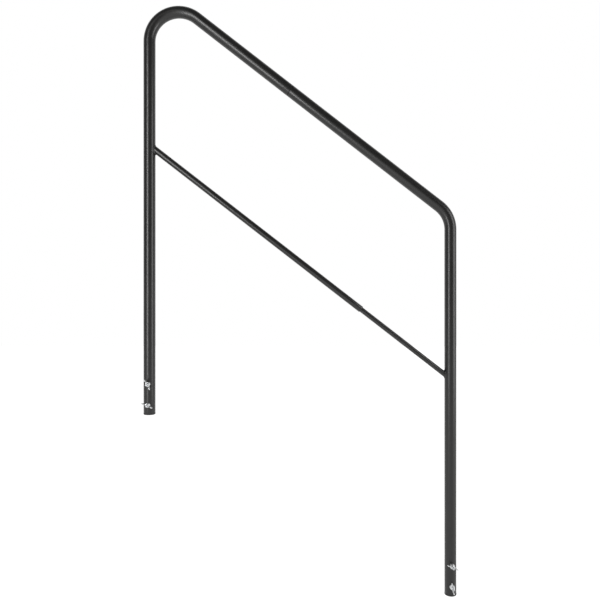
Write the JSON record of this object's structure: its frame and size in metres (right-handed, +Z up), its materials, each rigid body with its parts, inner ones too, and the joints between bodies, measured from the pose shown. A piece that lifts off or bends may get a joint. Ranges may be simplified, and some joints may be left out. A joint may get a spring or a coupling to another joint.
{
  "type": "pool handrail",
  "caption": "Black tubular handrail for pool steps: two bent tubes that plug together in the sloping rail, a telescoping brace and wing-nut bolts in both legs.",
  "frame": {"origin": "centre of the lower leg's foot, at the bottom face of its end cap", "axes": "+X from the upper leg to the lower leg, +Z up, the wing nuts face -Y"},
  "size_m": [0.7662, 0.054, 1.44],
  "materials": {
    "powder_black": "satin black powder coat with a fine orange peel",
    "black_plastic": "moulded black plastic, fine grain",
    "zinc_plate": "bright zinc plate"
  },
  "bodies": {
    "lower_half": {"lower_frame_tube": "powder_black", "lower_brace_tube": "powder_black", "lower_brace_weld": "powder_black", "lower_foot_cap": "black_plastic", "bolt_lower_leg_top": "zinc_plate", "rear_washer_lower_leg_top": "zinc_plate", "bolt_lower_leg_bottom": "zinc_plate", "rear_washer_lower_leg_bottom": "zinc_plate"},
    "upper_half": {"upper_frame_tube": "powder_black", "upper_brace_tube": "powder_black", "upper_brace_weld": "powder_black", "upper_foot_cap": "black_plastic", "bolt_upper_leg_top": "zinc_plate", "rear_washer_upper_leg_top": "zinc_plate", "bolt_upper_leg_bottom": "zinc_plate", "rear_washer_upper_leg_bottom": "zinc_plate"},
    "washer_upper_leg_top": {"front_washer_upper_leg_top": "zinc_plate"},
    "nut_upper_leg_top": {"wing_nut_upper_leg_top": "zinc_plate"},
    "washer_upper_leg_bottom": {"front_washer_upper_leg_bottom": "zinc_plate"},
    "nut_upper_leg_bottom": {"wing_nut_upper_leg_bottom": "zinc_plate"},
    "washer_lower_leg_top": {"front_washer_lower_leg_top": "zinc_plate"},
    "nut_lower_leg_top": {"wing_nut_lower_leg_top": "zinc_plate"},
    "washer_lower_leg_bottom": {"front_washer_lower_leg_bottom": "zinc_plate"},
    "nut_lower_leg_bottom": {"wing_nut_lower_leg_bottom": "zinc_plate"}
  },
  "joints": [
    {"name": "frame_slip", "type": "slide", "parent": "lower_half", "child": "upper_half", "axis": [-0.7902, 0, 0.6129], "range_m": [0, 0.06]},
    {"name": "travel_upper_leg_top", "type": "slide", "parent": "upper_half", "child": "washer_upper_leg_top", "axis": [0, -1, 0], "range_m": [0, 0.01]},
    {"name": "spin_upper_leg_top", "type": "hinge", "parent": "washer_upper_leg_top", "child": "nut_upper_leg_top", "pos_m": [-0.737, 0, 0.51688], "axis": [0, -1, 0], "range_deg": [0, 3600]},
    {"name": "travel_upper_leg_bottom", "type": "slide", "parent": "upper_half", "child": "washer_upper_leg_bottom", "axis": [0, -1, 0], "range_m": [0, 0.01]},
    {"name": "spin_upper_leg_bottom", "type": "hinge", "parent": "washer_upper_leg_bottom", "child": "nut_upper_leg_bottom", "pos_m": [-0.737, 0, 0.46608], "axis": [0, -1, 0], "range_deg": [0, 3600]},
    {"name": "travel_lower_leg_top", "type": "slide", "parent": "lower_half", "child": "washer_lower_leg_top", "axis": [0, -1, 0], "range_m": [0, 0.01]},
    {"name": "spin_lower_leg_top", "type": "hinge", "parent": "washer_lower_leg_top", "child": "nut_lower_leg_top", "pos_m": [0, 0, 0.0762], "axis": [0, -1, 0], "range_deg": [0, 3600]},
    {"name": "travel_lower_leg_bottom", "type": "slide", "parent": "lower_half", "child": "washer_lower_leg_bottom", "axis": [0, -1, 0], "range_m": [0, 0.01]},
    {"name": "spin_lower_leg_bottom", "type": "hinge", "parent": "washer_lower_leg_bottom", "child": "nut_lower_leg_bottom", "pos_m": [0, 0, 0.0254], "axis": [0, -1, 0], "range_deg": [0, 3600]}
  ],
  "couplings": [
    {"joint": "spin_upper_leg_top", "follows": "travel_upper_leg_top", "rad_per_m": 6283.2},
    {"joint": "spin_upper_leg_bottom", "follows": "travel_upper_leg_bottom", "rad_per_m": 6283.2},
    {"joint": "spin_lower_leg_top", "follows": "travel_lower_leg_top", "rad_per_m": 6283.2},
    {"joint": "spin_lower_leg_bottom", "follows": "travel_lower_leg_bottom", "rad_per_m": 6283.2}
  ]
}
